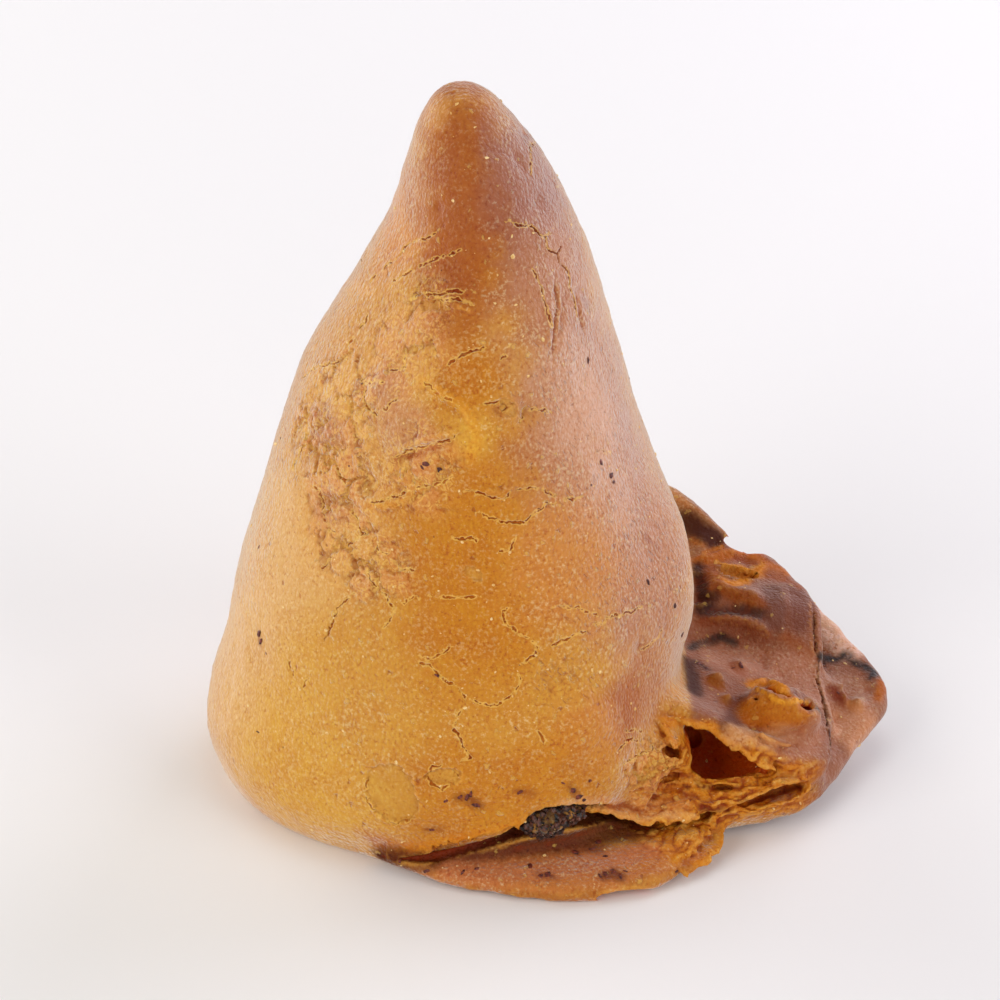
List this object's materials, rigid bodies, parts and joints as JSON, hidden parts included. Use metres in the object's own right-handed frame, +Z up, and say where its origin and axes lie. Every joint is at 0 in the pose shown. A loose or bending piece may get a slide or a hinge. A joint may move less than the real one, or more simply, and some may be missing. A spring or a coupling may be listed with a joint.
{
  "type": "punjabi samosa",
  "caption": "Plump fried pastry cone that stands on its pinched, torn and flaky base seam, with a ruffled flap of dough layers to one side.",
  "frame": {"origin": "middle of the flat underside, where the cone stands", "axes": "+Z up to the tip, +X towards the ruffled seam flap, +Y away from the shown side"},
  "size_m": [0.0841, 0.0648, 0.0884],
  "materials": {
    "crust": "golden fried dough crust with a soft oily sheen"
  },
  "bodies": {
    "root": {"samosa": "crust"}
  },
  "joints": []
}
